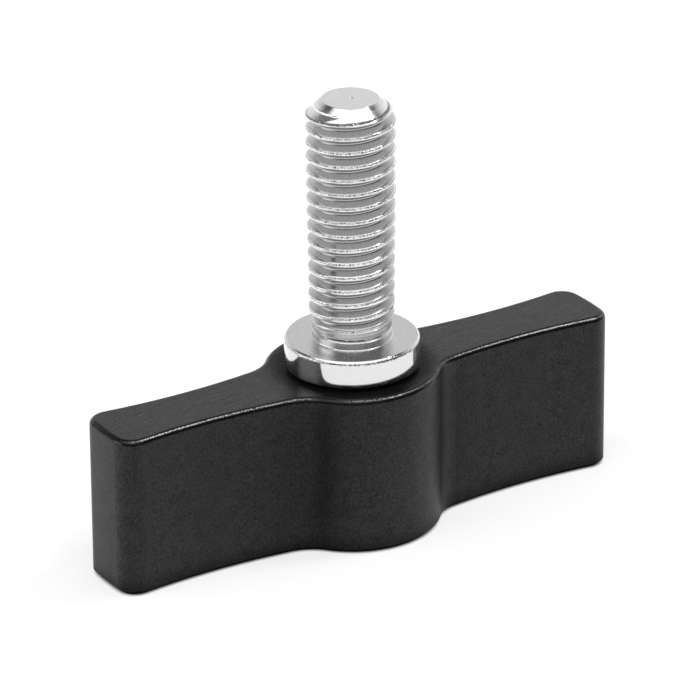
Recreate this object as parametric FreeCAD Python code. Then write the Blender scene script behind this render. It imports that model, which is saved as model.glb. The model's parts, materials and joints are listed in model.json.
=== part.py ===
import FreeCAD, Part
import math
import os

# T handle knob: a short handle bar with a round boss at its middle, and a screw stud that stands
# on the boss. Sizes are in millimetres. The origin is the middle of the handle's underside,
# +X runs along the handle and +Z runs up the screw.

# Handle bar, seen from above
SPAN = 38.8  # from end to end
HANDLE_HEIGHT = 11.3
BOSS_RADIUS = 6.0
WAIST_HALF_WIDTH = 2.45  # half the bar's width at its narrowest place
WAIST_DISTANCE = 12.3  # from the screw's axis to that place
SIDE_HOLLOW_RADIUS = 45.0  # of the long hollow sides
BOSS_BLEND_RADIUS = 3.0  # of the hollow corner between a side and the boss
END_CORNER_RADIUS = 1.4  # of the upright corners at the ends
EDGE_ROUNDING = 0.4  # of the upper edge, all the way round
LOWER_EDGE_CHAMFER = 0.3  # all the way round

# Screw stud, above the handle
COLLAR_RADIUS = 4.58
COLLAR_THICKNESS = 2.15
COLLAR_RIM_CHAMFER = 0.2  # at the collar's upper rim
COLLAR_FOOT_CHAMFER = 0.25  # at the collar's lower rim
NECK_RADIUS = 2.68  # of the plain relief between the collar and the thread
NECK_LENGTH = 0.8  # at least: the thread starts with the next whole ridge
SCREW_LENGTH = 17.1  # from the collar's upper face to the tip
THREAD_RADIUS = 3.0  # outside radius of the M6 thread
THREAD_PITCH = 1.0
THREAD_DEPTH = 0.59
CREST_HEIGHT = 0.17  # of the narrow flat on top of a ridge
TIP_RADIUS = 1.93
TIP_CHAMFER_LENGTH = 0.865
CENTRE_MARK_RADIUS = 0.2  # of the small turning mark in the tip
CENTRE_MARK_DEPTH = 0.2

# Knurled spigot that holds the stud in the boss
SPIGOT_RADIUS = 2.8  # over the tops of the knurl
SPIGOT_LENGTH = 7.0
PLAIN_LAND_LENGTH = 0.8  # above and below the knurl
KNURL_DEPTH = 0.18
KNURL_FLAT = 0.03  # how far the teeth's sharp tips and roots are cut back
KNURL_TEETH = 16
SPIGOT_LEAD = 0.4  # chamfer at the spigot's lower end

# Blind bore in the boss
SPIGOT_CLEARANCE = 0.01  # between the knurl's tops and the bore
BORE_END_GAP = 0.6  # below the spigot
BORE_MOUTH_CHAMFER = 0.3
DRILL_POINT_ANGLE = 118.0  # of the cone that the drill leaves, in degrees

# Heights that follow from the sizes above
COLLAR_TOP = HANDLE_HEIGHT + COLLAR_THICKNESS
TIP_HEIGHT = COLLAR_TOP + SCREW_LENGTH


def point(x, y, z=0.0):
    return FreeCAD.Vector(x, y, z)


def towards(start, goal, distance):
    """Returns the point at a distance from start on the line to goal."""
    step = goal - start
    return start + step * (distance / step.Length)


def circles_meet(centre_a, radius_a, centre_b, radius_b):
    """Returns where two circles in the plane meet, on the left when looking from a to b."""
    between = centre_b - centre_a
    gap = between.Length
    along = (gap**2 + radius_a**2 - radius_b**2) / (2 * gap)
    aside = math.sqrt(radius_a**2 - along**2)
    unit = between * (1 / gap)
    return centre_a + unit * along + point(-unit.y, unit.x) * aside


def arc(centre, start, end):
    """Returns the shorter arc about a centre, from start to end."""
    middle = towards(centre, start + end - centre, (start - centre).Length)
    return Part.Arc(start, middle, end).toShape()


def mirrored(shape, normal):
    return shape.mirror(point(0, 0), normal)


def handle_quarter():
    """Returns the arcs of the outline from above the boss to the end, for positive X and Y."""
    axis = point(0, 0)
    end_radius = SPAN / 2
    side_centre = point(WAIST_DISTANCE, WAIST_HALF_WIDTH + SIDE_HOLLOW_RADIUS)
    blend_centre = circles_meet(
        side_centre, SIDE_HOLLOW_RADIUS - BOSS_BLEND_RADIUS, axis, BOSS_RADIUS + BOSS_BLEND_RADIUS
    )
    corner_centre = circles_meet(
        side_centre, SIDE_HOLLOW_RADIUS + END_CORNER_RADIUS, axis, end_radius - END_CORNER_RADIUS
    )
    boss_end = towards(axis, blend_centre, BOSS_RADIUS)
    side_start = towards(side_centre, blend_centre, SIDE_HOLLOW_RADIUS)
    side_end = towards(side_centre, corner_centre, SIDE_HOLLOW_RADIUS)
    end_start = towards(axis, corner_centre, end_radius)
    return [
        arc(axis, point(0, BOSS_RADIUS), boss_end),
        arc(blend_centre, boss_end, side_start),
        arc(side_centre, side_start, side_end),
        arc(corner_centre, side_end, end_start),
        arc(axis, end_start, point(end_radius, 0)),
    ]


def handle_outline():
    """Returns the closed outline of the handle, the same in all four quarters."""
    quarter = handle_quarter()
    half = quarter + [mirrored(edge, point(1, 0)) for edge in quarter]
    whole = half + [mirrored(edge, point(0, 1)) for edge in half]
    return Part.Wire(Part.__sortEdges__(whole))


def level_edges(solid, height):
    """Returns the edges that lie flat at a height."""
    return [edge for edge in solid.Edges if all(abs(v.Z - height) < 1e-6 for v in edge.Vertexes)]


def revolved(profile):
    """Returns the solid that a profile of (radius, height) points makes about the screw's axis."""
    corners = [point(radius, 0, height) for radius, height in profile]
    face = Part.Face(Part.makePolygon(corners + corners[:1]))
    return face.revolve(point(0, 0), point(0, 0, 1), 360)


def bore_cutter():
    """Returns the blind bore with its mouth chamfer and drill point, as a solid to cut away."""
    radius = SPIGOT_RADIUS + SPIGOT_CLEARANCE
    floor = HANDLE_HEIGHT - SPIGOT_LENGTH - BORE_END_GAP
    point_depth = radius / math.tan(math.radians(DRILL_POINT_ANGLE / 2))
    return revolved(
        [
            (0, floor - point_depth),
            (radius, floor),
            (radius, HANDLE_HEIGHT - BORE_MOUTH_CHAMFER),
            (radius + BORE_MOUTH_CHAMFER, HANDLE_HEIGHT),
            (0, HANDLE_HEIGHT),
        ]
    )


def t_handle():
    """Returns the handle: an upright prism of the outline with eased edges and the bore."""
    bar = Part.Face(handle_outline()).extrude(point(0, 0, HANDLE_HEIGHT)).removeSplitter()
    bar = bar.makeFillet(EDGE_ROUNDING, level_edges(bar, HANDLE_HEIGHT))
    bar = bar.makeChamfer(LOWER_EDGE_CHAMFER, level_edges(bar, 0))
    return bar.cut(bore_cutter())


def thread_profile():
    """Returns the (radius, height) points of the thread's ridges, from the neck up to the tip's chamfer.

    The ridges are plain rings, one pitch apart. Their slight lead, the helix, is left to the surface model.
    """
    top = TIP_HEIGHT - TIP_CHAMFER_LENGTH
    flank_height = (THREAD_PITCH - CREST_HEIGHT) / 2
    lead_in = flank_height * (THREAD_RADIUS - NECK_RADIUS) / THREAD_DEPTH
    room = top - CREST_HEIGHT - lead_in - (COLLAR_TOP + NECK_LENGTH)
    grooves = int(room / THREAD_PITCH)
    lowest = top - grooves * THREAD_PITCH
    points = [(NECK_RADIUS, lowest - CREST_HEIGHT - lead_in)]
    for index in range(grooves + 1):
        crest_top = lowest + index * THREAD_PITCH
        points += [(THREAD_RADIUS, crest_top - CREST_HEIGHT), (THREAD_RADIUS, crest_top)]
        if index < grooves:
            points.append((THREAD_RADIUS - THREAD_DEPTH, crest_top + flank_height))
    return points


def stud_body():
    """Returns the turned part of the stud, with the spigot at the knurl's root radius."""
    land_radius = SPIGOT_RADIUS - KNURL_DEPTH
    foot = HANDLE_HEIGHT - SPIGOT_LENGTH
    return revolved(
        [
            (0, foot),
            (land_radius - SPIGOT_LEAD, foot),
            (land_radius, foot + SPIGOT_LEAD),
            (land_radius, HANDLE_HEIGHT),
            (COLLAR_RADIUS - COLLAR_FOOT_CHAMFER, HANDLE_HEIGHT),
            (COLLAR_RADIUS, HANDLE_HEIGHT + COLLAR_FOOT_CHAMFER),
            (COLLAR_RADIUS, COLLAR_TOP - COLLAR_RIM_CHAMFER),
            (COLLAR_RADIUS - COLLAR_RIM_CHAMFER, COLLAR_TOP),
            (NECK_RADIUS, COLLAR_TOP),
            *thread_profile(),
            (TIP_RADIUS, TIP_HEIGHT),
            (CENTRE_MARK_RADIUS, TIP_HEIGHT),
            (0, TIP_HEIGHT - CENTRE_MARK_DEPTH),
        ]
    )


def knurl():
    """Returns the straight knurl: a ring of upright teeth, bevelled at both ends."""
    root_radius = SPIGOT_RADIUS - KNURL_DEPTH - KNURL_FLAT
    tip_radius = SPIGOT_RADIUS + KNURL_FLAT
    bevel = SPIGOT_RADIUS - root_radius
    lower = HANDLE_HEIGHT - SPIGOT_LENGTH + SPIGOT_LEAD + PLAIN_LAND_LENGTH
    upper = HANDLE_HEIGHT - BORE_MOUTH_CHAMFER - PLAIN_LAND_LENGTH
    corners = []
    for index in range(2 * KNURL_TEETH):
        radius = root_radius if index % 2 else tip_radius
        angle = index * math.pi / KNURL_TEETH
        corners.append(point(radius * math.cos(angle), radius * math.sin(angle), lower))
    star = Part.Face(Part.makePolygon(corners + corners[:1])).extrude(point(0, 0, upper - lower))
    envelope = revolved(
        [
            (0, lower),
            (root_radius, lower),
            (SPIGOT_RADIUS, lower + bevel),
            (SPIGOT_RADIUS, upper - bevel),
            (root_radius, upper),
            (0, upper),
        ]
    )
    return star.common(envelope)


def threaded_stud():
    """Returns the stud: spigot, seating collar, relief neck and screw, turned as one piece."""
    return stud_body().fuse(knurl()).removeSplitter()


def main():
    os.makedirs("parts", exist_ok=True)
    t_handle().exportStep("parts/t_handle.step")
    threaded_stud().exportStep("parts/threaded_stud.step")


main()
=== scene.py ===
"""Looks of the t handle knob: a black anodised handle bar with a plated screw stud.

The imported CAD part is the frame. The handle keeps its CAD mesh and gets its finish here. The stud
gets a piece of its own, with a helical thread where the CAD part has plain rings. Sizes are in
millimetres and degrees unless a name says otherwise, and become metres where a mesh, lamp or
camera is made.
"""

import json
import logging
import math
from dataclasses import dataclass
from enum import Enum
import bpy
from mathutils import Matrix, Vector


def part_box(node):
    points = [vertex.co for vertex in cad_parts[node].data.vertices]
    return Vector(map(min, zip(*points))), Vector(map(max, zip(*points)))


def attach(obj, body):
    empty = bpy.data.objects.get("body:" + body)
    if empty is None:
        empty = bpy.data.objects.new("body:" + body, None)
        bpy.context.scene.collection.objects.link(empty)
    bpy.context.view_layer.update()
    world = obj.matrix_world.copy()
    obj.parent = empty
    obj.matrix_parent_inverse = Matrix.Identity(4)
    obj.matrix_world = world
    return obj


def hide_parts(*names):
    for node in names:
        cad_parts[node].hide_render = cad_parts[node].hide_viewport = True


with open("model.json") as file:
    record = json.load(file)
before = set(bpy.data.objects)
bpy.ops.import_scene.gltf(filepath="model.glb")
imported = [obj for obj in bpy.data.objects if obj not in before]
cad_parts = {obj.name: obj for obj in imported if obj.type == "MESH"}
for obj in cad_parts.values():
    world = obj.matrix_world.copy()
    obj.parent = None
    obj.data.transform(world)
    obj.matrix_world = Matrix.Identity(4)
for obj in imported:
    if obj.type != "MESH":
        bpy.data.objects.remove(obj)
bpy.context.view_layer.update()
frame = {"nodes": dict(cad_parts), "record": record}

from types import SimpleNamespace
from typing import Callable, Optional, Union

import bmesh
import bpy
from bmesh.types import BMesh, BMVert
from bpy.types import ID, Material, Node, NodeSocket, NodeTree, Object, World
from mathutils import Matrix, Vector

MM = 0.001  # metres
TURN = 2 * math.pi  # radians
HANDLE_NODE = "t_handle"
STUD_NODE = "threaded_stud"
BODY = "root"

SPARE_TURNS = 100.0  # added to a phase to keep it above 0
STRAIGHT = 1e-4  # radians, below which a corner of a profile isn't rounded
WELD = 2e-7  # metres between points that become one
NOISE_QUARTER = 0.13  # a quarter of plain noise is more than this above its middle, 0.5

SMOOTH = {"interpolation_type": "SMOOTHSTEP"}
LOG = logging.getLogger("t_handle_knob")

Pair = tuple[float, float]
Band = tuple[float, float, float, float]  # where it starts, is full, starts to fade and ends


def grey(brightness: float) -> tuple[float, ...]:
    """Returns a grey as a colour."""
    return (brightness,) * 3 + (1.0,)


def direction(azimuth: float, elevation: float) -> Vector:
    """Works out a direction.

    Args:
        azimuth: Its turn from -Y towards +X.
        elevation: Its rise above level.

    Returns:
        It as a vector of length 1.
    """
    azimuth, elevation = math.radians(azimuth), math.radians(elevation)
    level = math.cos(elevation)
    return Vector((math.sin(azimuth) * level, -math.cos(azimuth) * level, math.sin(elevation)))


def linked(name: str, data: ID) -> Object:
    """Adds an object to the scene.

    Args:
        name: Its name.
        data: What it shows.

    Returns:
        The object.
    """
    made = bpy.data.objects.new(name, data)
    bpy.context.scene.collection.objects.link(made)
    return made


def mesh_object(name: str, mesh: BMesh) -> Object:
    """Turns a mesh under construction into an object of the scene.

    Args:
        name: Its name.
        mesh: The mesh, which is freed.

    Returns:
        The object.
    """
    data = bpy.data.meshes.new(name)
    mesh.to_mesh(data)
    mesh.free()
    return linked(name, data)


# Node trees


def operator(name: str) -> Callable[..., "Signal"]:
    """Returns a method of Signal that feeds its value and any others to a Math node."""
    return lambda signal, *others: signal.wiring.math(name, signal, *others)


class Signal:
    """A number or vector in a node tree, on which plain arithmetic adds Math nodes."""

    def __init__(self, wiring: "Wiring", socket: NodeSocket) -> None:
        """Keeps the tree's wiring and the socket that puts the value out."""
        self.wiring = wiring
        self.socket = socket

    __add__ = __radd__ = operator("ADD")
    __mul__ = __rmul__ = operator("MULTIPLY")
    __sub__ = operator("SUBTRACT")
    __truediv__ = operator("DIVIDE")
    __abs__ = operator("ABSOLUTE")
    root = operator("SQRT")

    def __rsub__(self, other: float) -> "Signal":
        """Returns a number less this value."""
        return self.wiring.math("SUBTRACT", other, self)

    def rise(self, low: "Feed", high: "Feed", start: "Feed" = 0.0, end: "Feed" = 1.0) -> "Signal":
        """Returns a smooth rise from start to end while this value goes from low to high."""
        feeds = {"Value": self, "From Min": low, "From Max": high, "To Min": start, "To Max": end}
        return self.wiring.output("ShaderNodeMapRange", feeds, SMOOTH)

    def fall(self, low: "Feed", high: "Feed") -> "Signal":
        """Returns a smooth fall from 1 to 0 while this value goes from low to high."""
        return self.rise(low, high, 1.0, 0.0)

    def within(self, band: Band) -> "Signal":
        """Returns 1 inside a band and 0 outside it."""
        return self.rise(*band[:2]) * self.fall(*band[2:])

    def between(self, low: "Signal", high: "Feed") -> "Signal":
        """Returns a number between two, with this value as the share of the second."""
        return low + (high - low) * self


Feed = Union[Signal, float, int, tuple, Material, str, None]
Options = Optional[dict]


class Wiring:
    """Adds nodes to one node tree and joins them."""

    EXPOSURE_SAMPLES = 8

    def __init__(self, tree: NodeTree) -> None:
        """Keeps the tree and clears its nodes."""
        self.tree = tree
        tree.nodes.clear()

    def node(self, kind: str, feeds: Options = None, settings: Options = None) -> Node:
        """Adds a node.

        Args:
            kind: The node's type name.
            feeds: What goes into its inputs, by input name or index.
            settings: The node's own properties, by name.

        Returns:
            The new node.
        """
        made = self.tree.nodes.new(kind)
        for name, value in (settings or {}).items():
            setattr(made, name, value)
        for key, value in (feeds or {}).items():
            self.feed(made.inputs[key], value)
        return made

    def feed(self, socket: NodeSocket, value: Feed) -> None:
        """Links an input to a signal, or sets its own value.

        Args:
            socket: The input.
            value: The signal or the plain value.
        """
        if isinstance(value, Signal):
            self.tree.links.new(value.socket, socket)
        else:
            socket.default_value = value

    def output(
        self, kind: str, feeds: Options = None, settings: Options = None, name: Union[str, int] = 0
    ) -> Signal:
        """Adds a node, as node() does, and returns the output with a name or index."""
        return Signal(self, self.node(kind, feeds, settings).outputs[name])

    def math(self, operation: str, *values: Feed) -> Signal:
        """Returns the result of a Math node on up to three values."""
        return self.output("ShaderNodeMath", dict(enumerate(values)), {"operation": operation})

    def scaled(self, vector: Signal, factor: float) -> Signal:
        """Returns a vector times a number."""
        feeds = {"Vector": vector, "Scale": factor}
        return self.output("ShaderNodeVectorMath", feeds, {"operation": "SCALE"})

    def parts(self, vector: Signal) -> tuple[Signal, Signal, Signal]:
        """Returns the X, Y and Z of a vector."""
        split = self.node("ShaderNodeSeparateXYZ", {0: vector})
        return tuple(Signal(self, socket) for socket in split.outputs)

    def vector(self, *parts: Feed) -> Signal:
        """Returns a vector of three numbers."""
        return self.output("ShaderNodeCombineXYZ", dict(enumerate(parts)))

    def noise(
        self, place: Signal, per_mm: Feed, detail: float = 2.0, roughness: float = 0.6
    ) -> Signal:
        """Returns noise about 0.5, with per_mm blotches to a millimetre and finer ones in them."""
        feeds = {"Vector": place, "Scale": per_mm, "Detail": detail, "Roughness": roughness}
        return self.output("ShaderNodeTexNoise", feeds)

    def mix(self, share: Feed, low: Feed, high: Feed) -> Signal:
        """Returns a colour between two, by a share from 0 to 1."""
        feeds = {"Factor": share, 6: low, 7: high}
        return self.output("ShaderNodeMix", feeds, {"data_type": "RGBA"}, 2)

    def exposure(self, reach: float, own: bool = False) -> Signal:
        """Returns the share of a place's view that no surface within reach covers."""
        settings = {"samples": self.EXPOSURE_SAMPLES, "only_local": own}
        return self.output("ShaderNodeAmbientOcclusion", {"Distance": reach * MM}, settings, "AO")


def emptied(owner: Union[Material, World]) -> Wiring:
    """Returns the wiring of a material or world, which loses the nodes that it had."""
    owner.use_nodes = True
    return Wiring(owner.node_tree)


def titled(name: str) -> str:
    """Returns the name of the input that a name with _ for each space stands for."""
    return name.replace("_", " ").title()


class Sockets:
    """A new node group and its named inputs and outputs."""

    def __init__(self, name: str, kind: str = "ShaderNodeTree") -> None:
        """Makes the group.

        Args:
            name: Its name.
            kind: Its tree's type name.
        """
        self.tree = bpy.data.node_groups.new(name, kind)
        self.wiring = Wiring(self.tree)
        self.given = self.tree.nodes.new("NodeGroupInput")
        self.result = self.tree.nodes.new("NodeGroupOutput")

    def take(self, name: str, kind: str = "NodeSocketVector") -> Signal:
        """Adds a named input of a kind, and returns it as a signal inside the group."""
        self.tree.interface.new_socket(name=name, in_out="INPUT", socket_type=kind)
        return Signal(self.wiring, self.given.outputs[name])

    def numbers(self, **defaults: float) -> SimpleNamespace:
        """Adds an input for each number.

        Args:
            defaults: The numbers, whole or not, by name.

        Returns:
            The inputs as signals inside the group, by name.
        """
        signals = {}
        for name, value in defaults.items():
            kind = "NodeSocketInt" if isinstance(value, int) else "NodeSocketFloat"
            signals[name] = self.take(titled(name), kind)
            self.tree.interface.items_tree[titled(name)].default_value = value
        return SimpleNamespace(**signals)

    def give(self, name: str, value: Signal, kind: str = "NodeSocketFloat") -> None:
        """Adds a named output and feeds it."""
        self.tree.interface.new_socket(name=name, in_out="OUTPUT", socket_type=kind)
        self.wiring.feed(self.result.inputs[name], value)


# Effects that several finishes share


def grain_group() -> NodeTree:
    """Builds the group that makes blotches and fine grain, so many to a millimetre.

    Returns:
        The group, whose outputs are about 0.
    """
    sockets = Sockets("fine_grain")
    place = sockets.take("Place")
    per_mm = sockets.numbers(blotches=1.0, grains=5.0)
    blotch = sockets.wiring.noise(place, per_mm.blotches, 3.0, 0.6) - 0.5
    grain = sockets.wiring.noise(place, per_mm.grains, 3.0, 0.65) - 0.5
    sockets.give("Blotch", blotch)
    sockets.give("Grain", grain)
    sockets.give("Height", blotch * 0.6 + grain * 0.4)
    return sockets.tree


def pit_group() -> NodeTree:
    """Builds the group that scatters small round pits, each in a cell of its own.

    Returns:
        The group, whose output is 1 in a pit and 0 outside.
    """
    sockets = Sockets("small_pits")
    place = sockets.take("Place")
    pits = sockets.numbers(spacing=1.0, radius=0.1, share=0.3)
    wiring = sockets.wiring
    cells = wiring.node("ShaderNodeTexVoronoi", {"Vector": place, "Scale": pits.spacing})
    inside = Signal(wiring, cells.outputs["Distance"]).fall(pits.radius * 0.5, pits.radius)
    chance = wiring.parts(Signal(wiring, cells.outputs["Color"]))[0]
    sockets.give("Pit", inside * wiring.math("LESS_THAN", chance, pits.share))
    return sockets.tree


def helix_group() -> NodeTree:
    """Builds the group that tells how far a place is above the crest of a right-hand thread.

    Returns:
        The group, whose output is in turns, from 0 at a crest to 1 at the next one above it.
    """
    sockets = Sockets("helix_phase")
    x, y, z = sockets.wiring.parts(sockets.take("Place"))
    thread = sockets.numbers(crest_angle=0.0, crest_height=0.0, pitch=1.0)
    turn = (sockets.wiring.math("ARCTAN2", y, x) - thread.crest_angle) / TURN
    phase = (z - thread.crest_height) / thread.pitch - turn + SPARE_TURNS
    sockets.give("Phase", sockets.wiring.math("FRACT", phase))
    return sockets.tree


class Effects:
    """The shared node groups, made once."""

    def __init__(self) -> None:
        """Builds the groups."""
        self.grain = grain_group()
        self.pits = pit_group()
        self.helix = helix_group()


@dataclass(frozen=True)
class Texture:
    """The fine texture of a finish."""

    blotches: float  # to a millimetre
    grains: float  # to a millimetre
    pits: tuple[float, ...]  # cells to a millimetre, radius in cells, share of cells with a pit
    tone: tuple[float, ...]  # how much blotches and grain lighten the colour, and pits darken it


class Surface:
    """One material: its wiring, place in millimetres, texture and Principled shader."""

    def __init__(self, name: str, effects: Effects, texture: Texture) -> None:
        """Makes a material with a shader and a texture that isn't in use yet.

        Args:
            name: The material's name.
            effects: The shared node groups.
            texture: The texture.
        """
        self.effects = effects
        self.material = bpy.data.materials.new(name)
        self.wiring = emptied(self.material)
        self.shader = self.wiring.node("ShaderNodeBsdfPrincipled")
        shaded = Signal(self.wiring, self.shader.outputs[0])
        self.wiring.node("ShaderNodeOutputMaterial", {"Surface": shaded})
        place = self.wiring.output("ShaderNodeTexCoord", name="Object")
        self.place = self.wiring.scaled(place, 1 / MM)
        self.height = self.wiring.parts(self.place)[2]
        normal = self.wiring.output("ShaderNodeTexCoord", name="Normal")
        _, self.sideward, self.upward = self.wiring.parts(normal)
        fine = self.group(effects.grain, blotches=texture.blotches, grains=texture.grains)
        self.blotch, self.grain, self.relief = fine["Blotch"], fine["Grain"], fine["Height"]
        spacing, radius, share = texture.pits
        self.pit = self.group(effects.pits, spacing=spacing, radius=radius, share=share)["Pit"]
        blotches, grains, pits = texture.tone
        self.tone = self.blotch * blotches + self.grain * grains + 0.5 - self.pit * pits

    def set(self, **values: Feed) -> None:
        """Feeds the shader's inputs, named with _ for a space."""
        for name, value in values.items():
            self.wiring.feed(self.shader.inputs[name.replace("_", " ")], value)

    def group(self, tree: NodeTree, **values: float) -> dict[str, Signal]:
        """Places a shared group.

        Args:
            tree: The group.
            values: The values of its inputs, by name.

        Returns:
            Its outputs by name.
        """
        feeds = {titled(name): value for name, value in values.items()} | {"Place": self.place}
        node = self.wiring.node("ShaderNodeGroup", feeds, {"node_tree": tree})
        return {socket.name: Signal(self.wiring, socket) for socket in node.outputs}

    def bump(self, height: Signal, depth: float) -> None:
        """Tilts the shader's normal by a height, of which 1 is a depth in millimetres."""
        feeds = {"Height": height, "Distance": depth * MM, "Strength": 1.0}
        self.set(Normal=self.wiring.output("ShaderNodeBump", feeds))


# Finishes


class BlastedBlack(Surface):
    """Fine-blasted and black anodised aluminium.

    A slope here is the upward part of a surface's normal: 1 on the top and 0 on the sides.
    """

    TEXTURE = Texture(1.1, 6.5, (0.9, 0.09, 0.3), (0.5, 0.9, 0.6))
    BLACK = 0.0055
    SHADES = 0.45, 1.7  # darkest and lightest, as shares of the black
    SIDE_ROUGHNESS = 0.45
    TOP_ROUGHNESS = 0.33  # milled
    TOP_SLOPES = 0.3, 0.95
    GRAIN_ROUGHNESS = 0.25
    ROUNDING_SLOPES = 0.05, 0.2, 0.9, 0.98  # of the rounded upper edge
    RUBBED_EDGE = 0.2  # how much smoother that edge is
    GLOSS = 0.37
    GRAIN_GLOSS = 2.5
    BLOTCH_GLOSS = 0.6
    PIT_DULLNESS = 0.8
    CREASE_SHADE_REACH = 12.0  # how near the handle's own sides make a corner where the gloss is dulled as painted shade
    CREASE_SHADE_EXPOSURE = 0.84, 0.99  # in such a corner, and outside it
    SHADED_GLOSS_SHARE = 0.12  # share of the gloss left in such a corner, as painted shade
    CONTACT_SHADE_REACH = 2.2  # how near the collar or the floor dulls the gloss the same way, as painted shade
    CONTACT_SHADE_EXPOSURE = 0.4, 0.97
    CONTACT_SHADE_LIFT = 0.3  # more of the first of these on the top
    FOOT_SHADE_SLOPES = -0.6, -0.2  # of the lower edge's chamfer
    FOOT_SHADE_GLOSS = 0.05  # share of the gloss left there, as painted shade beside the floor
    RELIEF = 0.006
    PIT_DEPTH = 1.5  # as a share of the relief
    MILL_DEPTH = 1.6
    MILL_ANGLE = 20.0
    MILL_LINE_LENGTH = 2.0
    MILL_LINES_TO_MM = 5.0
    MILL_LINES = 0.58, 0.72  # levels of noise from no line to a full one
    MILL_PATCHES_TO_MM = 0.2
    MILL_PATCHES = 0.36, 0.5
    MILLED_SLOPES = 0.97, 0.999
    BARE = 0.2  # brightness of the metal where the edge has lost its black
    WORN_SLOPES = 0.64, 0.74, 0.86, 0.93
    WORN_SIDES = 0.7, 0.9  # share of the normal along Y, from the ends to the long sides
    LEAST_LEVEL = 0.001  # keeps the normal's level part above 0
    WORN_SPECKS_TO_MM = 9.0
    WORN_SPECKS = 0.4, 0.54

    def __init__(self, effects: Effects) -> None:
        """Builds the finish.

        Args:
            effects: The shared node groups.
        """
        super().__init__("blasted_black", effects, self.TEXTURE)
        up, mix = self.upward, self.wiring.mix
        worn = self.worn_edge()
        black = mix(self.tone, *(grey(self.BLACK * shade) for shade in self.SHADES))
        self.set(Base_Color=mix(worn, black, grey(self.BARE)), Metallic=worn, IOR=1.45)
        rough = up.rise(*self.TOP_SLOPES, self.SIDE_ROUGHNESS, self.TOP_ROUGHNESS)
        rubbed = up.within(self.ROUNDING_SLOPES) * (1.0 - worn) * self.RUBBED_EDGE
        self.set(Roughness=self.grain * self.GRAIN_ROUGHNESS + (rough - rubbed))
        # The gloss carries painted shade: dulled in creases, near the collar and the floor, and on
        # the foot's chamfer.
        self.set(Specular_IOR_Level=self.shine() * self.GLOSS)
        relief = self.relief + self.mill_lines() * -self.MILL_DEPTH - self.pit * self.PIT_DEPTH
        self.bump(relief, self.RELIEF)

    def shine(self) -> Signal:
        """Works out the uneven gloss, with painted shade that dulls it in corners, near the collar
        and the floor, and on the foot's chamfer.

        Returns:
            The gloss, as a share.
        """
        shine = self.grain * self.GRAIN_GLOSS + self.blotch * self.BLOTCH_GLOSS + 1.0
        shine = shine * (1.0 - self.pit * self.PIT_DULLNESS)
        # Painted shade: less gloss where the handle's own sides close in.
        crease_shade = self.wiring.exposure(self.CREASE_SHADE_REACH, True)
        closed, free = self.CONTACT_SHADE_EXPOSURE
        closed = self.upward * self.CONTACT_SHADE_LIFT + closed
        # Painted shade: less gloss near the collar and the floor.
        contact_shade = self.wiring.exposure(self.CONTACT_SHADE_REACH)
        shine = shine * crease_shade.rise(*self.CREASE_SHADE_EXPOSURE, self.SHADED_GLOSS_SHARE, 1.0)
        shine = shine * contact_shade.rise(closed, free, self.SHADED_GLOSS_SHARE, 1.0)
        # Painted shade: almost no gloss on the foot's chamfer, beside the floor.
        return shine * self.upward.rise(*self.FOOT_SHADE_SLOPES, self.FOOT_SHADE_GLOSS, 1.0)

    def worn_edge(self) -> Signal:
        """Scatters specks of bare metal along the upper edges of the long sides.

        Returns:
            The share of bare metal.
        """
        level = (1.0 + self.LEAST_LEVEL - self.upward * self.upward).root()
        long_side = (abs(self.sideward) / level).rise(*self.WORN_SIDES)
        specks = self.wiring.noise(self.place, self.WORN_SPECKS_TO_MM).rise(*self.WORN_SPECKS)
        return self.upward.within(self.WORN_SLOPES) * long_side * specks

    def mill_lines(self) -> Signal:
        """Makes the faint mill lines that cross the flat top in patches.

        Returns:
            The lines, as a relief.
        """
        feeds = {
            "Vector": self.place,
            "Rotation": (0.0, 0.0, math.radians(self.MILL_ANGLE)),
            "Scale": (self.MILL_LINE_LENGTH, 1 / self.MILL_LINES_TO_MM, 1.0),
        }
        along = self.wiring.output("ShaderNodeMapping", feeds, {"vector_type": "TEXTURE"})
        lines = self.wiring.noise(along, 1.0, 1.0, 0.5).rise(*self.MILL_LINES)
        patches = self.wiring.noise(self.place, self.MILL_PATCHES_TO_MM, 1.0, 0.5)
        return lines * patches.rise(*self.MILL_PATCHES) * self.upward.rise(*self.MILLED_SLOPES)


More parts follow.
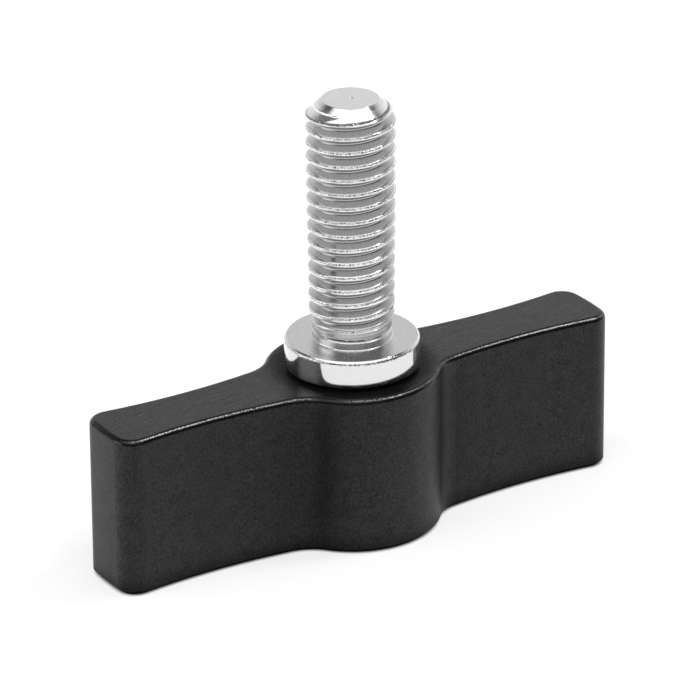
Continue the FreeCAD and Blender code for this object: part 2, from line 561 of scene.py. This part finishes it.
@dataclass(frozen=True)
class RolledCrest:
    """Where a thread's crest runs, with the ragged fold of rolling along its upper edge."""

    angle: float
    height: float
    pitch: float
    chamfer_height: float  # where the tip's chamfer starts
    chamfer_ease: float = 0.1
    highlight_half_width: Pair = (0.13, 0.17)  # of the crest's painted highlight, in turns
    # the groove's bottom, where darker metal is painted shade
    shaded_root_half_width: Pair = (0.06, 0.16)
    fold_phase: float = 0.05  # of the fold above the crest's middle, in turns
    fold_half_width: float = 0.085
    fold_depth: float = 0.06
    fold_grains_to_mm: float = 10.0
    fold_specks_kept: Pair = (0.44, 0.5)
    dark: float = 0.13  # brightness of the metal in the fold's dark specks
    torn_below: Pair = (0.9, 0.4)  # how far below the tip's chamfer more of the fold is dark
    torn_more: float = 0.12

    def distance(self, surface: Surface, phase: float) -> Signal:
        """Measures how far a place is from a phase above the crest.

        Args:
            surface: The material.
            phase: The phase, in turns.

        Returns:
            The distance, in turns.
        """
        sizes = {"crest_angle": math.radians(self.angle), "crest_height": self.height}
        above = surface.group(surface.effects.helix, **sizes, pitch=self.pitch)["Phase"]
        return abs(surface.wiring.math("WRAP", above - phase, 0.5, -0.5))

    def burnished(self, surface: Surface) -> Signal:
        """Finds the crest and the tip's chamfer, whose lighter metal is a painted highlight.

        Args:
            surface: The material.

        Returns:
            1 there, and 0 in the groove, whose darker metal is painted shade.
        """
        crest = self.distance(surface, 0.0).fall(*self.highlight_half_width)
        start, ease = self.chamfer_height, self.chamfer_ease
        tip = surface.height.rise(start - ease, start + ease)
        return surface.wiring.math("MAXIMUM", crest, tip)

    def root(self, surface: Surface) -> Signal:
        """Returns 1 at the bottom of the groove, where darker metal is painted shade, and 0 on the
        ridge.
        """
        return self.distance(surface, 0.5).fall(*self.shaded_root_half_width)

    def marks(self, surface: Surface) -> tuple[Signal, Signal]:
        """Makes the fold, which is darkest under the tip's chamfer.

        Args:
            surface: The material.

        Returns:
            The fold's relief in millimetres, and the share of dark specks in it.
        """
        width = self.fold_half_width
        near = self.distance(surface, self.fold_phase).fall(width * 0.5, width)
        ragged = surface.wiring.noise(surface.place, self.fold_grains_to_mm)
        low, high = (self.chamfer_height - below for below in self.torn_below)
        specks = ragged - surface.height.rise(low, high, 0.0, self.torn_more)
        return (ragged - 0.5) * near * self.fold_depth, specks.fall(*self.fold_specks_kept) * near


@dataclass(frozen=True)
class BurrAndShadowLine:
    """A ragged line round the stud: the rim's burr, and the neck groove's painted shadow under its
    upper wall.
    """

    height: float
    depth: float = 0.04
    marks_to_mm: float = 7.0
    dark: float = 0.25  # brightness of the metal in its dark marks: burr marks on the rim, painted shadow in the groove
    half_width: Pair = (0.05, 0.14)
    marks_kept: Pair = (0.46, 0.52)

    def marks(self, surface: Surface) -> tuple[Signal, Signal]:
        """Makes the line, which is dark below its height only: burr marks on the rim, painted
        shadow under the groove's upper wall.

        Args:
            surface: The material.

        Returns:
            The line's relief in millimetres, and the share of dark marks in it.
        """
        near = abs(surface.height - self.height).fall(*self.half_width)
        ragged = surface.wiring.noise(surface.place, self.marks_to_mm)
        lower = near * surface.height.fall(self.height, self.height + self.half_width[0])
        return (ragged - 0.5) * near * self.depth, ragged.fall(*self.marks_kept) * lower


@dataclass(frozen=True)
class Plating:
    """Bright nickel plating, as smooth or as marked as the metal below it."""

    name: str
    roughness: float
    texture: Texture = Texture(1.6, 14.0, (2.2, 0.06, 0.25), (0.6, 0.4, 0.4))
    grain_roughness: float = 0.8  # how much the grain changes the roughness, as a share of it
    haze: float = 0.25  # share of the surface that fine specks roughen
    speck_roughness: float = 0.5
    speck_ease: float = 0.02
    specks_to_mm: float = 34.0
    metal: float = 0.67
    shades: Pair = (0.93, 1.05)  # darkest and lightest, as shares of the metal
    wave_depth: float = 0.0009
    pit_depth: float = 0.8  # as a share of the waves
    ring_depth: float = 0.0
    rings_to_mm: float = 9.0
    crest: Optional[RolledCrest] = None
    shaded_groove_metal: float = 0.5  # beside the crest, darker metal as painted shade
    # painted shade: darkest metal at the bottom of the thread's groove
    shaded_root_metal: float = 0.38
    torn: Optional[BurrAndShadowLine] = None
    satin_height: float = 0.0  # where the surface is least bright
    satin_reach: float = 6.0  # how far above that height it is as bright as elsewhere
    satin_roughness: float = 0.16  # added at that height

    def material(self, effects: Effects) -> Material:
        """Builds the finish.

        Args:
            effects: The shared node groups.

        Returns:
            The material.
        """
        surface = Surface(self.name, effects, self.texture)
        mix = surface.wiring.mix
        colour = self.colour(surface, self.metal)
        relief = (surface.relief - surface.pit * self.pit_depth) * self.wave_depth
        if self.ring_depth:
            relief = relief + self.rings(surface) * self.ring_depth
        if self.crest:
            # Painted highlight on the crest and the tip's chamfer, painted shade in the groove,
            # darkest at its root.
            groove = self.colour(surface, self.shaded_groove_metal)
            groove = mix(self.crest.root(surface), groove, grey(self.shaded_root_metal))
            colour = mix(self.crest.burnished(surface), groove, colour)
        # The neck groove's dark marks are painted shadow; the crest's fold and the rim's burr are
        # marks in the metal.
        for ragged in filter(None, (self.crest, self.torn)):
            edge, marks = ragged.marks(surface)
            colour = mix(marks, colour, grey(ragged.dark))
            relief = relief + edge
        surface.set(Base_Color=colour, Metallic=1.0, Roughness=self.rough(surface))
        surface.bump(relief, 1.0)
        return surface.material

    def rough(self, surface: Surface) -> Signal:
        """Works out the roughness.

        Args:
            surface: The material.

        Returns:
            The roughness, with its haze of specks.
        """
        smooth = surface.grain * (self.roughness * self.grain_roughness) + self.roughness
        if self.satin_height:
            high = self.satin_height + self.satin_reach
            satin = surface.height.rise(self.satin_height, high, self.satin_roughness, 0.0)
            smooth = smooth + satin
        haze = surface.wiring.noise(surface.place, self.specks_to_mm, 0.0, 0.5)
        level = 0.5 + NOISE_QUARTER * (0.5 - self.haze) / 0.25
        ease = self.speck_ease
        return haze.rise(level - ease, level + ease, smooth, self.speck_roughness)

    def colour(self, surface: Surface, metal: float) -> Signal:
        """Returns a metal's colour, a little darker or lighter by the texture's tone."""
        return surface.wiring.mix(surface.tone, *(grey(metal * shade) for shade in self.shades))

    def rings(self, surface: Surface) -> Signal:
        """Makes the turning rings about the screw's axis.

        Args:
            surface: The material.

        Returns:
            The rings, as a relief.
        """
        wiring = surface.wiring
        x, y, z = wiring.parts(surface.place)
        radius = (x * x + y * y).root()
        feeds = {"W": radius + z, "Scale": self.rings_to_mm, "Detail": 2.0, "Roughness": 0.6}
        return wiring.output("ShaderNodeTexNoise", feeds, {"noise_dimensions": "1D"})


# The stud


class StudFace(Enum):
    """The kinds of surface on the stud, by the place of their material in its mesh."""

    TURNED = 0
    BRIGHT = 1
    ROLLED = 2


@dataclass(frozen=True)
class Corner:
    """A corner of a turned profile."""

    radius: float  # from the screw's axis
    height: float  # above the handle's underside
    rounding: float = 0.02
    face: StudFace = StudFace.BRIGHT  # of the surface that leads away from the corner
    knurled: float = 0.0  # 1 where the radius follows the knurl's teeth


@dataclass(frozen=True)
class TurnedShell:
    """A surface turned about the screw's axis from a profile with rounded corners."""

    columns: int  # points in a ring
    start_angle: float  # plan angle of the first point
    teeth: int  # of the knurl
    tooth_depth: float
    arc_steps: int = 4
    guard: float = 0.02  # how far from a rounding the flat beside it gets a ring of its own

    def rounded(self, before: Corner, corner: Corner, after: Corner) -> list[Corner]:
        """Rounds one corner, with a guard ring on each side of it.

        Args:
            before: The corner before it.
            corner: The corner.
            after: The corner after it.

        Returns:
            The rings from before towards after, each as a corner without a rounding.
        """
        here, back, ahead = (Vector((item.radius, item.height)) for item in (corner, before, after))
        back, ahead = back - here, ahead - here
        turn = math.pi - back.angle(ahead)
        if corner.rounding == 0 or turn < STRAIGHT:
            return [corner]
        back, ahead = back.normalized(), ahead.normalized()
        reach = corner.rounding * math.tan(turn / 2)
        centre = here + (back + ahead).normalized() * (corner.rounding / math.cos(turn / 2))
        first, last = here + back * reach, here + ahead * reach
        points = [first + back * self.guard]
        for step in range(self.arc_steps + 1):
            spoke = (first - centre).lerp(last - centre, step / self.arc_steps)
            points.append(centre + spoke.normalized() * corner.rounding)
        points.append(last + ahead * self.guard)
        middle = len(points) // 2
        faces = [before.face] * middle + [corner.face] * (len(points) - middle)
        return [Corner(*point, 0.0, face, corner.knurled) for point, face in zip(points, faces)]

    def add(self, mesh: BMesh, corners: list[Corner]) -> None:
        """Adds the turned surface to a mesh, open where the profile ends away from the axis.

        Args:
            mesh: The mesh.
            corners: The profile, from bottom to top, so that its faces point outwards.
        """
        rings = [corners[0]]
        for trio in zip(corners, corners[1:], corners[2:]):
            rings += self.rounded(*trio)
        rings.append(corners[-1])
        lower = self.ring(mesh, rings[0])
        for below, above in zip(rings, rings[1:]):
            upper = self.ring(mesh, above)
            for index in range(self.columns):
                after = (index + 1) % self.columns
                quad = (lower[index], lower[after], upper[after], upper[index])
                face = mesh.faces.new(list(dict.fromkeys(quad)))
                face.material_index = below.face.value
            lower = upper

    def ring(self, mesh: BMesh, corner: Corner) -> list[BMVert]:
        """Adds the points of one ring, or one point on the axis.

        Args:
            mesh: The mesh.
            corner: The ring.

        Returns:
            The points by column.
        """
        if corner.radius == 0:
            return [mesh.verts.new((0, 0, corner.height * MM))] * self.columns
        points = []
        for index in range(self.columns):
            angle = math.radians(self.start_angle) + TURN * index / self.columns
            tooth = abs((angle * self.teeth / math.pi) % 2 - 1)
            radius = corner.radius - corner.knurled * self.tooth_depth * (1 - tooth)
            place = Vector((radius * math.cos(angle), radius * math.sin(angle), corner.height))
            points.append(mesh.verts.new(place * MM))
        return points


@dataclass
class ScrewStud:
    """The stud: knurled spigot, seating collar, relief neck, rolled screw and tip, as one piece."""

    seat: float
    collar_radius: float
    foot: float
    tip: float
    thread_radius: float
    pitch: float = 1.0
    collar_thickness: float = 2.15
    rim_chamfer: float = 0.16
    foot_chamfer: float = 0.25
    neck_radius: float = 2.68
    neck_length: float = 0.84
    neck_groove: Band = (0.5, 0.6, 0.7, 0.76)  # its lower and upper wall, above the collar
    neck_groove_depth: float = 0.12
    tip_radius: float = 1.93
    tip_slope: float = 0.8  # fall of the tip's chamfer for each millimetre outwards
    chamfer_length: float = 0.865
    chamfer_kept: float = 0.2  # length of the chamfer above the thread's grid
    mark_radius: float = 0.18
    mark_depth: float = 0.17
    mark_point: float = 0.04
    spigot_radius: float = 2.8
    spigot_lead: float = 0.4
    plain_land: float = 0.8  # above and below the knurl
    bore_mouth: float = 0.3  # depth of the bore's mouth, which the upper land starts below
    knurl_depth: float = 0.18
    knurl_teeth: int = 16
    crest_angle: float = 147.7  # plan angle at which the crests' heights are given
    crest_height: float = 28.515  # of one crest at that angle
    columns: int = 160
    rows_to_turn: int = 24

    def collar_top(self) -> float:
        """Returns the height of the collar's upper face."""
        return self.seat + self.collar_thickness

    def grid_ends(self) -> Pair:
        """Returns the heights between which the thread's grid lies."""
        return self.collar_top() + self.neck_length, self.tip - self.chamfer_kept

    def finishes(self, effects: Effects) -> list[Material]:
        """Makes the stud's materials.

        Args:
            effects: The shared node groups.

        Returns:
            The materials in the order of StudFace.
        """
        # Painted shadow: dark marks under the upper wall of the neck's groove.
        groove = BurrAndShadowLine(self.collar_top() + self.neck_groove[2], 0.01, 1.3, 0.06)
        rim = BurrAndShadowLine(self.collar_top() - self.rim_chamfer)
        chamfer = self.tip - self.chamfer_length
        crest = RolledCrest(self.crest_angle, self.crest_height, self.pitch, chamfer)
        platings = (
            Plating("turned_plating", 0.27, ring_depth=0.002, torn=groove),
            Plating("bright_plating", 0.1, haze=0.08, speck_roughness=0.3, torn=rim),
            Plating("rolled_plating", 0.12, haze=0.2, metal=0.78, crest=crest, satin_height=15.0),
        )
        return [plating.material(effects) for plating in platings]

    def lower_profile(self) -> list[Corner]:
        """Lays out the profile from the spigot's foot to the upper end of the neck.

        Returns:
            Its corners.
        """
        land = self.spigot_radius - self.knurl_depth
        low = self.foot + self.spigot_lead + self.plain_land
        high = self.seat - self.bore_mouth - self.plain_land
        top = self.collar_top()
        outer, neck, turned = self.collar_radius, self.neck_radius, StudFace.TURNED
        floor = neck - self.neck_groove_depth
        first, second, third, fourth = (top + above for above in self.neck_groove)
        rows = (
            (0, self.foot, 0),
            (land - self.spigot_lead, self.foot),
            (land, self.foot + self.spigot_lead),
            (land, low, 0),
            (self.spigot_radius, low + self.knurl_depth, 0, StudFace.BRIGHT, 1.0),
            (self.spigot_radius, high - self.knurl_depth, 0, StudFace.BRIGHT, 1.0),
            (land, high, 0),
            (land, self.seat, 0.05, turned),
            (outer - self.foot_chamfer, self.seat, 0.05),
            (outer, self.seat + self.foot_chamfer, 0.12),
            (outer, top - self.rim_chamfer, 0.2),
            (outer - self.rim_chamfer, top, 0.03, turned),
            (neck, top, 0.1, turned),
            (neck, first, 0.01, turned),
            (floor, second, 0.03, turned),
            (floor, third, 0.02, turned),
            (neck, fourth, 0.01, turned),
            (neck, self.grid_ends()[0]),
        )
        return [Corner(*row) for row in rows]

    def upper_profile(self) -> list[Corner]:
        """Lays out the profile from the upper end of the thread's grid to the tip's middle.

        Returns:
            Its corners.
        """
        bottom = self.tip - self.mark_depth
        rows = (
            (self.tip_radius + self.chamfer_kept / self.tip_slope, self.grid_ends()[1]),
            (self.tip_radius, self.tip, 0.04),
            (self.mark_radius, self.tip, 0.04),
            (self.mark_point, bottom),
            (0, bottom),
        )
        return [Corner(*row) for row in rows]

    def build(self, finishes: list[Material]) -> Object:
        """Makes the whole stud as one closed mesh.

        Args:
            finishes: The materials in the order of StudFace.

        Returns:
            The finished object.
        """
        mesh = bmesh.new()
        shell = TurnedShell(self.columns, self.crest_angle, self.knurl_teeth, self.knurl_depth)
        shell.add(mesh, self.lower_profile())
        shell.add(mesh, self.upper_profile())
        stud = mesh_object("screw_stud", mesh)
        for finish in finishes:
            stud.data.materials.append(finish)
        RolledThread(self).cut(stud, finishes[StudFace.ROLLED.value])
        return stud


@dataclass(frozen=True)
class ThreadForm:
    """The thread's sizes that are inputs of its tree as they are."""

    crest_half_width: float = 0.085
    worn_crest: float = 0.09  # how much lower the crests are near the collar
    worn_below: float = 15.5
    full_above: float = 24.5
    edge_softness: float = 0.018
    root_softness: float = 0.07
    crowding: float = 0.45  # how far the grid's rows crowd at the crests and roots
    runout_start: float = 14.5
    runout_end: float = 15.35
    unevenness: float = 0.006


@dataclass
class RolledThread:
    """The screw's rolled thread, as a Geometry Nodes tree that follows the helix."""

    stud: ScrewStud
    form: ThreadForm = ThreadForm()
    play: float = 0.01  # below the nominal outside radius
    root_depth: float = 0.59
    unevenness_to_mm: float = 2.5

    def settings(self) -> dict[str, float]:
        """Works out the tree's inputs.

        Returns:
            Their values by name.
        """
        stud = self.stud
        low, high = stud.grid_ends()
        first = math.floor((low - stud.crest_height) / stud.pitch) - 1
        last = math.ceil((high - stud.crest_height) / stud.pitch)
        values = {
            "columns": stud.columns + 1,
            "rows": (last - first) * stud.rows_to_turn + 1,
            "first_turn": float(first),
            "turns": float(last - first),
            "crest_angle": math.radians(stud.crest_angle),
            "lower_end": low,
            "upper_end": high,
            "crest_radius": stud.thread_radius - self.play,
            "root_radius": stud.thread_radius - self.root_depth,
        }
        for name in ("crest_height", "pitch", "neck_radius", "tip_radius", "tip", "tip_slope"):
            values[name] = getattr(stud, name)
        return values | vars(self.form)

    def tree(self) -> NodeTree:
        """Builds the tree, which winds a flat grid into the thread and joins it to the body.

        Returns:
            The tree.
        """
        sockets = Sockets("rolled_thread", "GeometryNodeTree")
        turned = sockets.take("Turned Body", "NodeSocketGeometry")
        sizes = sockets.numbers(**self.settings())
        finish = sockets.take("Finish", "NodeSocketMaterial")
        wiring = sockets.wiring
        feeds = {"Size X": 1.0, "Size Y": 1.0}
        feeds |= {"Vertices X": sizes.columns, "Vertices Y": sizes.rows}
        strip = wiring.output("GeometryNodeMeshGrid", feeds, name="Mesh")
        feeds = {"Geometry": strip, "Position": self.helix_place(wiring, sizes)}
        wound = wiring.output("GeometryNodeSetPosition", feeds)
        marked = wiring.output(
            "GeometryNodeStoreNamedAttribute",
            {"Geometry": wound, "Name": "rolled", "Value": 1.0},
            {"data_type": "FLOAT", "domain": "FACE"},
        )
        joint = wiring.node("GeometryNodeJoinGeometry")
        for part in (turned, marked):
            wiring.feed(joint.inputs[0], part)
        kind, settings = "GeometryNodeInputNamedAttribute", {"data_type": "FLOAT"}
        rolled = wiring.output(kind, {"Name": "rolled"}, settings, "Attribute")
        chosen = wiring.math("GREATER_THAN", rolled, 0.5)
        geometry = Signal(wiring, joint.outputs[0])
        for kind, feeds in (
            ("GeometryNodeMergeByDistance", {"Distance": WELD}),
            ("GeometryNodeSetShadeSmooth", {}),
            ("GeometryNodeRealizeInstances", {}),
            ("GeometryNodeSetMaterial", {"Selection": chosen, "Material": finish}),
        ):
            geometry = wiring.output(kind, {"Geometry": geometry} | feeds)
        sockets.give("Stud", geometry, "NodeSocketGeometry")
        return sockets.tree

    def helix_place(self, wiring: Wiring, sizes: SimpleNamespace) -> Signal:
        """Winds the flat grid, one unit wide and high, round the screw's axis.

        Args:
            wiring: The tree's wiring.
            sizes: The tree's inputs by name.

        Returns:
            The place of each grid point, in metres.
        """
        across, along, _ = wiring.parts(wiring.output("GeometryNodeInputPosition"))
        share = across + 0.5
        turn = (along + 0.5) * sizes.turns + sizes.first_turn
        crowd = wiring.math("SINE", turn * (2 * TURN)) * sizes.crowding / (2 * TURN)
        height = sizes.crest_height + sizes.pitch * (turn - crowd + share)
        height = wiring.math("MAXIMUM", height, sizes.lower_end)
        height = wiring.math("MINIMUM", height, sizes.upper_end)
        angle = share * TURN + sizes.crest_angle
        cosine, sine = wiring.math("COSINE", angle), wiring.math("SINE", angle)
        outer = self.stud.thread_radius
        outside = wiring.vector(cosine * outer, sine * outer, height)

        phase = (height - sizes.crest_height) / sizes.pitch - share
        off_crest = abs(wiring.math("FRACT", phase + (SPARE_TURNS + 0.5)) - 0.5) * sizes.pitch
        flank = sizes.crest_radius - (off_crest - sizes.crest_half_width) * math.sqrt(3)
        wear = height.rise(sizes.worn_below, sizes.full_above, sizes.worn_crest, 0.0)
        rough = wiring.noise(outside, self.unevenness_to_mm, 3.0, 0.6) - 0.5
        crest = sizes.crest_radius - wear + rough * sizes.unevenness
        capped = wiring.math("SMOOTH_MIN", flank, crest, sizes.edge_softness)
        full = wiring.math("SMOOTH_MAX", capped, sizes.root_radius, sizes.root_softness)
        grown = height.rise(sizes.runout_start, sizes.runout_end)
        faded = grown.between(sizes.neck_radius, full)
        cone = sizes.tip_radius + (sizes.tip - height) / sizes.tip_slope
        radius = wiring.math("SMOOTH_MIN", faded, cone, sizes.edge_softness)
        return wiring.scaled(wiring.vector(radius * cosine, radius * sine, height), MM)

    def cut(self, body: Object, finish: Material) -> None:
        """Adds the thread to the turned body and leaves one plain mesh.

        Args:
            body: The turned body, which gets the thread.
            finish: The thread's material.
        """
        tree = self.tree()
        modifier = body.modifiers.new("thread", "NODES")
        modifier.node_group = tree
        for name, value in (self.settings() | {"finish": finish}).items():
            modifier[tree.interface.items_tree[titled(name)].identifier] = value
        graph = bpy.context.evaluated_depsgraph_get()
        mesh = bpy.data.meshes.new_from_object(body.evaluated_get(graph))
        body.modifiers.clear()
        body.data = mesh
        mesh.name = body.name


# The studio


@dataclass(frozen=True)
class Viewpoint:
    """Where the photograph was taken from."""

    azimuth: float = -31.85
    elevation: float = 24.6
    roll: float = -0.41
    distance: float = 392.3
    aim_aside: float = -0.14
    aim_height: float = 12.3
    pixels_to_mm: float = 14.883
    image_side: int = 700
    sensor: float = 36.0

    def add_camera(self) -> None:
        """Makes the camera and sets it as the scene's own."""
        azimuth, roll = math.radians(self.azimuth), math.radians(self.roll)
        back = direction(self.azimuth, self.elevation)
        right = Vector((math.cos(azimuth), math.sin(azimuth), 0))
        up = back.cross(right)
        across = right * math.cos(roll) + up * math.sin(roll)
        upright = up * math.cos(roll) - right * math.sin(roll)
        aim = Vector((0, 0, self.aim_height)) + right * self.aim_aside
        data = bpy.data.cameras.new("photo_camera")
        data.sensor_width = self.sensor
        data.lens = self.pixels_to_mm * self.distance / self.image_side * self.sensor
        data.clip_start, data.clip_end = 0.01, 10.0
        camera = linked("photo_camera", data)
        turn = Matrix((across, upright, back)).transposed().to_4x4()
        camera.matrix_world = Matrix.Translation((aim + back * self.distance) * MM) @ turn
        bpy.context.scene.camera = camera


Stops = tuple[Pair, ...]


@dataclass
class LightTent:
    """The studio: a pale floor, a light tent made by the world, and one soft lamp.

    Stops are pairs of an elevation and a brightness. How far behind or to the right a direction
    points is a share of its level part, and its height is its elevation as a share of 90 degrees.
    """

    view: Viewpoint
    floor_radius: float = 1500.0
    floor_drop: float = 0.02
    floor_white: float = 0.85
    floor_glow: float = 0.62
    floor_shade: float = 0.55
    reflected_glow: float = 0.15  # more for reflections, where the bright floor isn't clipped
    # how near the object the floor's glow dims, as a painted contact shadow
    contact_shadow_reach: float = 0.22
    back_left: Stops = (
        (0, 1.18), (14, 1.18), (25, 1.03), (33, 0.68), (40, 0.24), (66, 0.2), (78, 0.2), (90, 0.2)
    )
    back_right: Stops = (
        (0, 1.37), (22, 1.32), (30, 1.06), (40, 0.68), (49, 0.2), (57, 0.2), (70, 0.24), (90, 0.2)
    )
    right_side: Stops = (
        (0, 1.0), (30, 0.9), (36, 0.6), (40, 0.15), (46, 0.12), (50, 0.16), (90, 0.2)
    )
    left_side: Stops = ((0, 1.0), (4, 0.8), (10, 0.12), (46, 0.12), (90, 0.2))
    front: Stops = ((0, 2.0), (81, 2.0), (84, 0.2), (90, 0.2))
    back_seam: Pair = (-0.35, 0.35)  # aside, from the back's left half to its right half
    side_seam: Pair = (-0.6, 0.0)  # aside, from the left side to the right side
    back_start: Pair = (0.3, 0.65)  # behind, from the sides to the back
    side_start: Pair = (0.08, 0.36)  # behind, from the front to the sides
    front_low: float = 0.03  # brightness below the front panel
    front_edge: float = 36.0  # elevation of the front panel's lower edge
    front_lift: float = 10.0  # how much higher that edge is at the sides
    front_ease: float = 0.03  # height over which that edge brightens
    left_low: float = 2.8  # brightness of a low panel at the left
    left_low_end: Pair = (-0.95, -0.75)  # aside
    left_low_top: Pair = (0.31, 0.37)  # height
    least_level: float = 1e-4  # keeps a direction's level part above 0
    lamp_size: Pair = (70.0, 25.0)
    lamp_power: float = 0.4
    lamp_azimuth: float = 107.0  # from the camera's own, towards the right of the picture
    lamp_elevation: float = 60.0
    lamp_distance: float = 550.0

    def add_floor(self) -> None:
        """Lays the floor."""
        mesh = bmesh.new()
        radius, drop = self.floor_radius * MM, self.floor_drop * MM
        bmesh.ops.create_circle(mesh, cap_ends=True, radius=radius, segments=64)
        bmesh.ops.translate(mesh, verts=mesh.verts, vec=(0, 0, -drop))
        floor = mesh_object("studio_floor", mesh)
        floor.data.materials.append(self.floor_material())

    def floor_material(self) -> Material:
        """Builds white paper that glows a little for the camera and in reflections, with a painted
        contact shadow: the glow dims near the object.

        Returns:
            The material.
        """
        material = bpy.data.materials.new("white_paper")
        wiring = emptied(material)
        camera_ray = wiring.output("ShaderNodeLightPath", name="Is Camera Ray")
        glossy_ray = wiring.output("ShaderNodeLightPath", name="Is Glossy Ray")
        glow = glossy_ray * self.reflected_glow + self.floor_glow
        # Painted contact shadow: the glow dims where the object covers the floor's view.
        glow = glow * wiring.exposure(self.contact_shadow_reach)
        paper, shade = (
            wiring.output("ShaderNodeBsdfDiffuse", {"Color": grey(white)})
            for white in (self.floor_white, self.floor_shade)
        )
        glowing = wiring.output("ShaderNodeEmission", {"Strength": glow})
        seen = wiring.output("ShaderNodeAddShader", {0: shade, 1: glowing})
        direct = wiring.math("MAXIMUM", camera_ray, glossy_ray)
        mixed = wiring.output("ShaderNodeMixShader", {0: direct, 1: paper, 2: seen})
        wiring.node("ShaderNodeOutputMaterial", {"Surface": mixed})
        return material

    def add_world(self) -> None:
        """Builds the world: white for the camera, the tent's panels for light and reflections."""
        world = bpy.data.worlds.new("light_tent")
        wiring = emptied(world)
        x, y, z = wiring.parts(wiring.output("ShaderNodeTexCoord", name="Generated"))
        azimuth = math.radians(self.view.azimuth)
        level = (x * x + y * y).root() + self.least_level
        behind = (x * -math.sin(azimuth) + y * math.cos(azimuth)) / level
        aside = (x * math.cos(azimuth) + y * math.sin(azimuth)) / level
        height = wiring.math("ARCSINE", z) / (TURN / 4)
        stops = (self.back_left, self.back_right, self.left_side, self.right_side, self.front)
        back_left, back_right, left, right, front = (self.panel(height, each) for each in stops)
        back = aside.rise(*self.back_seam).between(back_left, back_right)
        side = aside.rise(*self.side_seam).between(left, right)
        edge = aside * aside * (self.front_lift / 90) + self.front_edge / 90
        front = front * height.rise(edge, edge + self.front_ease) + self.front_low
        low = aside.rise(*self.left_low_end, self.left_low, 0.0)
        front = front + low * height.fall(*self.left_low_top)
        tent = behind.rise(*self.back_start).between(side, back)
        tent = behind.rise(*self.side_start).between(front, tent)
        camera_ray = wiring.output("ShaderNodeLightPath", name="Is Camera Ray")
        feeds = {"Strength": camera_ray.between(tent, 1.0)}
        background = wiring.output("ShaderNodeBackground", feeds)
        wiring.node("ShaderNodeOutputWorld", {"Surface": background})
        bpy.context.scene.world = world

    def panel(self, height: Signal, stops: Stops) -> Signal:
        """Makes one side of the tent.

        Args:
            height: The direction's height.
            stops: Its brightness by elevation.

        Returns:
            The brightness, up to 2.
        """
        ramp = height.wiring.node("ShaderNodeValToRGB", {"Fac": height})
        elements = ramp.color_ramp.elements
        while len(elements) < len(stops):
            elements.new(0.5)
        for element, (elevation, brightness) in zip(elements, stops):
            element.position = elevation / 90
            element.color = grey(brightness / 2)
        return Signal(height.wiring, ramp.outputs["Color"]) * 2.0

    def add_lamp(self) -> None:
        """Hangs the soft lamp above the object, to its right."""
        data = bpy.data.lights.new("soft_lamp", "AREA")
        data.shape = "RECTANGLE"
        data.size, data.size_y = (side * MM for side in self.lamp_size)
        data.energy = self.lamp_power
        lamp = linked("soft_lamp", data)
        away = direction(self.view.azimuth + self.lamp_azimuth, self.lamp_elevation)
        lamp.location = away * self.lamp_distance * MM
        lamp.rotation_mode = "QUATERNION"
        lamp.rotation_quaternion = away.to_track_quat("Z", "Y")
        lamp.visible_camera = False

    def build(self) -> None:
        """Makes the studio and sets how the picture shows its light."""
        self.add_floor()
        self.add_world()
        self.add_lamp()
        bpy.context.scene.view_settings.view_transform = "Standard"


@dataclass
class HandleBar:
    """The handle, which keeps the CAD mesh."""

    node: Object

    def dress(self, finish: Material) -> Object:
        """Gives the CAD node its finish.

        Args:
            finish: The material.

        Returns:
            The node's object.
        """
        if not self.node.material_slots:
            self.node.data.materials.append(finish)
        for slot in self.node.material_slots:
            slot.material = finish
        return self.node


def stud_from_frame() -> ScrewStud:
    """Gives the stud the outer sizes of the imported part.

    Returns:
        The stud.
    """
    low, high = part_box(STUD_NODE)
    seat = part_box(HANDLE_NODE)[1].z
    mount = next(item for item in frame["record"]["mounts"] if item["kind"] == "pin")
    sizes = (size / MM for size in (seat, high.x, low.z, high.z))
    return ScrewStud(*sizes, mount["dims"]["r_mm"])


def main() -> None:
    """Builds the pieces in order and reports each."""
    logging.basicConfig(level=logging.INFO, format="%(name)s: %(message)s")
    effects = Effects()
    design = stud_from_frame()
    finishes = design.finishes(effects)

    handle = HandleBar(frame["nodes"][HANDLE_NODE]).dress(BlastedBlack(effects).material)
    LOG.info("%s keeps its CAD mesh, %d faces", handle.name, len(handle.data.polygons))

    stud = design.build(finishes)
    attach(stud, BODY)
    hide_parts(STUD_NODE)
    LOG.info("%s has %d faces", stud.name, len(stud.data.polygons))

    view = Viewpoint()
    LightTent(view).build()
    view.add_camera()
    LOG.info("studio and camera are in place")


if __name__ == "__main__":
    main()
